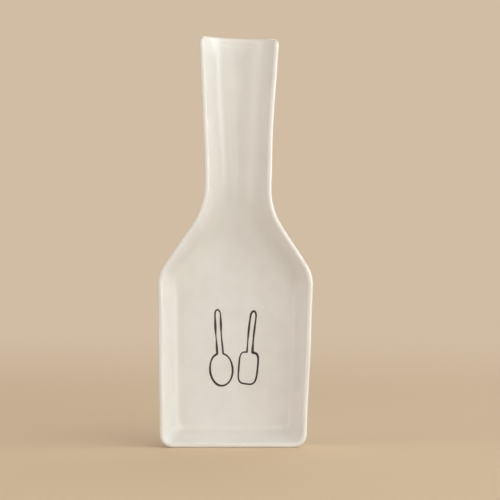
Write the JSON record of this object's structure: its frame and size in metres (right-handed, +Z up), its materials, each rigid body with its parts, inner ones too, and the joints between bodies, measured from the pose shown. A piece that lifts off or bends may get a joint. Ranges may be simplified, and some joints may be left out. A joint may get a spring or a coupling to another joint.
{
  "type": "ceramic spoon rest",
  "caption": "White glazed ceramic spoon rest: shallow dish with slanted shoulders, a rounded raised rim and a long open-ended neck channel for the spoon handle.",
  "frame": {"origin": "centre of the bounding box at the level of the standing end, with the tray stood upright as in the picture", "axes": "+Z up the length from the standing end to the open end of the neck, +Y from the open front to the back with the foot ring, +X to the right seen from the front"},
  "size_m": [0.0942, 0.024, 0.25],
  "materials": {
    "warm_white_glaze": "warm white gloss glaze with gentle hand-formed unevenness, bare fired clay on the foot ring",
    "fired_black_line": "fired-on near-black line, satin"
  },
  "bodies": {
    "root": {"tray_body": "warm_white_glaze", "spoon_line": "fired_black_line", "spatula_line": "fired_black_line"}
  },
  "joints": []
}
